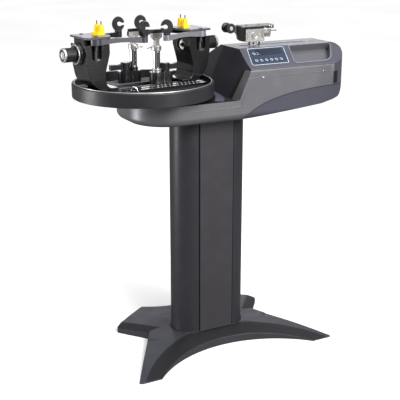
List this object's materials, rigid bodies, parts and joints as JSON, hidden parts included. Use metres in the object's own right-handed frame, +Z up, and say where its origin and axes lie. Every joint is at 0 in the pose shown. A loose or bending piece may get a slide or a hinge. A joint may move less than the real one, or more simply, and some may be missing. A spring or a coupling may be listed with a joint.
{
  "type": "racket stringing machine",
  "caption": "Floor-standing racket stringing machine: star base, column, body with linear tension head, turntable with side-arm hooks and string clamps.",
  "frame": {"origin": "on the floor below the column's axis", "axes": "+Z up, +X along the machine from the turntable to the tension head, -Y towards the operator's panel"},
  "size_m": [0.9658, 0.486, 1.1056],
  "materials": {
    "base_coat": "fine-textured charcoal powder coat",
    "column_coat": "satin charcoal powder coat",
    "plate_coat": "satin dark grey powder coat",
    "housing_grey": "fine-grained metallic grey",
    "cover_slate": "satin slate blue-grey",
    "tray_black": "satin black",
    "panel_film": "dark blue film with a light border",
    "display_film": "glossy window",
    "key_film": "light film key",
    "cast_alloy": "grey cast alloy",
    "silver_alloy": "satin machined alloy",
    "gloss_alloy": "gloss black coated alloy",
    "pan_coat": "satin charcoal coat",
    "ground_steel": "bright plated steel",
    "motor_coat": "black coat",
    "belt_rubber": "matt black",
    "roller_black": "moulded black",
    "hook_rubber": "soft matt black",
    "guard_yellow": "yellow moulding"
  },
  "bodies": {
    "frame": {"base_casting": "base_coat", "column_tube": "column_coat", "column_front_plate": "plate_coat", "column_back_plate": "plate_coat", "lower_housing": "housing_grey", "belly_cover": "cover_slate", "top_cover": "cover_slate", "tool_tray": "tray_black", "control_panel": "panel_film", "display_window": "display_film", "power_inlet": "tray_black", "chassis": "cast_alloy", "turntable_spindle": "ground_steel", "drive_motor": "motor_coat", "drive_belt": "belt_rubber"},
    "power_key": {"panel_power_key": "key_film"},
    "key_1": {"panel_key_1": "key_film"},
    "key_2": {"panel_key_2": "key_film"},
    "key_3": {"panel_key_3": "key_film"},
    "key_4": {"panel_key_4": "key_film"},
    "key_5": {"panel_key_5": "key_film"},
    "key_6": {"panel_key_6": "key_film"},
    "switch": {"power_switch": "tray_black"},
    "drive_wheel": {"drive_pulley": "cast_alloy"},
    "idler_wheel": {"idler_pulley": "cast_alloy"},
    "carriage": {"tension_carriage": "silver_alloy", "gripper_block": "silver_alloy", "gripper_side_plate": "gloss_alloy", "head_plate": "cast_alloy"},
    "roller": {"guide_roller": "roller_black"},
    "jaw": {"jaw_lever": "cast_alloy"},
    "turntable": {"turntable_pan": "pan_coat", "turntable_deck": "silver_alloy", "slotted_rack": "tray_black"},
    "left_tower": {"tower_left": "gloss_alloy", "tower_plate_left": "cast_alloy"},
    "right_tower": {"tower_right": "gloss_alloy", "tower_plate_right": "cast_alloy"},
    "left_knob": {"tower_knob_left": "roller_black"},
    "right_knob": {"tower_knob_right": "roller_black"},
    "left_guard": {"head_guard_left": "guard_yellow"},
    "right_guard": {"head_guard_right": "guard_yellow"},
    "rear_left_arm": {"arm_rear_left": "gloss_alloy"},
    "front_left_arm": {"arm_front_left": "gloss_alloy"},
    "rear_right_arm": {"arm_rear_right": "gloss_alloy"},
    "front_right_arm": {"arm_front_right": "cast_alloy"},
    "rear_left_hook": {"hook_rear_left": "hook_rubber"},
    "front_left_hook": {"hook_front_left": "hook_rubber"},
    "rear_right_hook": {"hook_rear_right": "hook_rubber"},
    "front_right_hook": {"hook_front_right": "hook_rubber"},
    "left_clamp": {"clamp_base_left": "gloss_alloy"},
    "right_clamp": {"clamp_base_right": "gloss_alloy"},
    "left_lever": {"clamp_lever_left": "roller_black"},
    "right_lever": {"clamp_lever_right": "roller_black"},
    "left_post": {"clamp_post_left": "ground_steel"},
    "right_post": {"clamp_post_right": "ground_steel"},
    "left_head": {"clamp_head_left": "silver_alloy"},
    "right_head": {"clamp_head_right": "silver_alloy"},
    "left_cam": {"clamp_cam_left": "ground_steel"},
    "right_cam": {"clamp_cam_right": "ground_steel"}
  },
  "joints": [
    {"name": "power_key_press", "type": "slide", "parent": "frame", "child": "power_key", "axis": [0, 0.4774, -0.8787], "range_m": [0, 0.0015], "stiffness_N_per_m": 300},
    {"name": "key_1_press", "type": "slide", "parent": "frame", "child": "key_1", "axis": [0, 0.4774, -0.8787], "range_m": [0, 0.0015], "stiffness_N_per_m": 300},
    {"name": "key_2_press", "type": "slide", "parent": "frame", "child": "key_2", "axis": [0, 0.4774, -0.8787], "range_m": [0, 0.0015], "stiffness_N_per_m": 300},
    {"name": "key_3_press", "type": "slide", "parent": "frame", "child": "key_3", "axis": [0, 0.4774, -0.8787], "range_m": [0, 0.0015], "stiffness_N_per_m": 300},
    {"name": "key_4_press", "type": "slide", "parent": "frame", "child": "key_4", "axis": [0, 0.4774, -0.8787], "range_m": [0, 0.0015], "stiffness_N_per_m": 300},
    {"name": "key_5_press", "type": "slide", "parent": "frame", "child": "key_5", "axis": [0, 0.4774, -0.8787], "range_m": [0, 0.0015], "stiffness_N_per_m": 300},
    {"name": "key_6_press", "type": "slide", "parent": "frame", "child": "key_6", "axis": [0, 0.4774, -0.8787], "range_m": [0, 0.0015], "stiffness_N_per_m": 300},
    {"name": "switch_rock", "type": "hinge", "parent": "frame", "child": "switch", "pos_m": [0.345, 0.152, 0.91], "axis": [1, 0, 0], "range_deg": [0, 8]},
    {"name": "carriage_slide", "type": "slide", "parent": "frame", "child": "carriage", "axis": [1, 0, 0], "range_m": [0, 0.16]},
    {"name": "drive_pulley_spin", "type": "hinge", "parent": "frame", "child": "drive_wheel", "pos_m": [0.385, -0.014, 0.89], "axis": [0, 1, 0], "range_deg": [-5, 730]},
    {"name": "idler_pulley_spin", "type": "hinge", "parent": "frame", "child": "idler_wheel", "pos_m": [0.112, -0.014, 0.89], "axis": [0, 1, 0], "range_deg": [-5, 730]},
    {"name": "roller_spin", "type": "hinge", "parent": "carriage", "child": "roller", "pos_m": [0.08, 0, 1.057], "axis": [0, 1, 0], "continuous": true},
    {"name": "jaw_swing", "type": "hinge", "parent": "carriage", "child": "jaw", "pos_m": [0.218, 0, 1.04], "axis": [0, 1, 0], "range_deg": [-12, 15]},
    {"name": "turntable_spin", "type": "hinge", "parent": "frame", "child": "turntable", "pos_m": [-0.225, 0, 0.88], "axis": [0, 0, 1], "continuous": true},
    {"name": "left_tower_slide", "type": "slide", "parent": "turntable", "child": "left_tower", "axis": [0.9925, 0.1219, 0], "range_m": [-0.006, 0.02]},
    {"name": "right_tower_slide", "type": "slide", "parent": "turntable", "child": "right_tower", "axis": [0.9925, 0.1219, 0], "range_m": [-0.02, 0.006]},
    {"name": "left_knob_turn", "type": "hinge", "parent": "left_tower", "child": "left_knob", "pos_m": [-0.46023, -0.02888, 1.012], "axis": [0.9925, 0.1219, 0], "range_deg": [-540, 540]},
    {"name": "right_knob_turn", "type": "hinge", "parent": "right_tower", "child": "right_knob", "pos_m": [0.01023, 0.02888, 1.012], "axis": [0.9925, 0.1219, 0], "range_deg": [-540, 540]},
    {"name": "rear_left_arm_swing", "type": "hinge", "parent": "left_tower", "child": "rear_left_arm", "pos_m": [-0.41621, 0.02287, 1.049], "axis": [0, 0, 1], "range_deg": [-8.4, 8.4]},
    {"name": "front_left_arm_swing", "type": "hinge", "parent": "left_tower", "child": "front_left_arm", "pos_m": [-0.405, -0.06845, 1.049], "axis": [0, 0, 1], "range_deg": [-8.4, 8.4]},
    {"name": "rear_right_arm_swing", "type": "hinge", "parent": "right_tower", "child": "rear_right_arm", "pos_m": [-0.045, 0.06845, 1.049], "axis": [0, 0, 1], "range_deg": [-8.4, 8.4]},
    {"name": "front_right_arm_swing", "type": "hinge", "parent": "right_tower", "child": "front_right_arm", "pos_m": [-0.03379, -0.02287, 1.049], "axis": [0, 0, 1], "range_deg": [-8.4, 8.4]},
    {"name": "rear_left_hook_swivel", "type": "hinge", "parent": "rear_left_arm", "child": "rear_left_hook", "pos_m": [-0.27438, 0.0717, 1.06], "axis": [0, 0, 1], "range_deg": [-60, 60]},
    {"name": "front_left_hook_swivel", "type": "hinge", "parent": "front_left_arm", "child": "front_left_hook", "pos_m": [-0.25557, -0.08152, 1.06], "axis": [0, 0, 1], "range_deg": [-60, 60]},
    {"name": "rear_right_hook_swivel", "type": "hinge", "parent": "rear_right_arm", "child": "rear_right_hook", "pos_m": [-0.19443, 0.08152, 1.06], "axis": [0, 0, 1], "range_deg": [-60, 60]},
    {"name": "front_right_hook_swivel", "type": "hinge", "parent": "front_right_arm", "child": "front_right_hook", "pos_m": [-0.17561, -0.0717, 1.06], "axis": [0, 0, 1], "range_deg": [-60, 60]},
    {"name": "left_guard_swivel", "type": "hinge", "parent": "left_tower", "child": "left_guard", "pos_m": [-0.37587, -0.01852, 1.065], "axis": [0, 0, 1], "range_deg": [-15, 15]},
    {"name": "right_guard_swivel", "type": "hinge", "parent": "right_tower", "child": "right_guard", "pos_m": [-0.07413, 0.01852, 1.065], "axis": [0, 0, 1], "range_deg": [-15, 15]},
    {"name": "left_clamp_slide", "type": "slide", "parent": "turntable", "child": "left_clamp", "axis": [0.9925, 0.1219, 0], "range_m": [-0.045, 0.012]},
    {"name": "right_clamp_slide", "type": "slide", "parent": "turntable", "child": "right_clamp", "axis": [0.9925, 0.1219, 0], "range_m": [-0.08, 0.018]},
    {"name": "left_lever_swing", "type": "hinge", "parent": "left_clamp", "child": "left_lever", "pos_m": [-0.26247, 0.05081, 0.95], "axis": [0, 0, 1], "range_deg": [-60, 0]},
    {"name": "right_lever_swing", "type": "hinge", "parent": "right_clamp", "child": "right_lever", "pos_m": [-0.15507, -0.01156, 0.95], "axis": [0, 0, 1], "range_deg": [-60, 0]},
    {"name": "left_post_swivel", "type": "hinge", "parent": "left_clamp", "child": "left_post", "pos_m": [-0.2327, 0.05447, 0.96], "axis": [0, 0, 1], "range_deg": [-90, 90]},
    {"name": "right_post_swivel", "type": "hinge", "parent": "right_clamp", "child": "right_post", "pos_m": [-0.18485, -0.01522, 0.96], "axis": [0, 0, 1], "range_deg": [-90, 90]},
    {"name": "left_head_lift", "type": "slide", "parent": "left_post", "child": "left_head", "axis": [0, 0, 1], "range_m": [0, 0.022]},
    {"name": "right_head_lift", "type": "slide", "parent": "right_post", "child": "right_head", "axis": [0, 0, 1], "range_m": [0, 0.022]},
    {"name": "left_cam_swing", "type": "hinge", "parent": "left_head", "child": "left_cam", "pos_m": [-0.23028, 0.03482, 1.0118], "axis": [-0.1219, 0.9925, 0], "range_deg": [-60, 30]},
    {"name": "right_cam_swing", "type": "hinge", "parent": "right_head", "child": "right_cam", "pos_m": [-0.18726, 0.00443, 1.0118], "axis": [0.1219, -0.9925, 0], "range_deg": [-60, 30]}
  ],
  "couplings": [
    {"joint": "drive_pulley_spin", "follows": "carriage_slide", "rad_per_m": 78.7},
    {"joint": "idler_pulley_spin", "follows": "carriage_slide", "rad_per_m": 78.7},
    {"joint": "rear_left_arm_swing", "follows": "left_knob_turn", "ratio": -0.01528},
    {"joint": "front_left_arm_swing", "follows": "left_knob_turn", "ratio": 0.01528},
    {"joint": "rear_right_arm_swing", "follows": "right_knob_turn", "ratio": 0.01528},
    {"joint": "front_right_arm_swing", "follows": "right_knob_turn", "ratio": -0.01528}
  ]
}
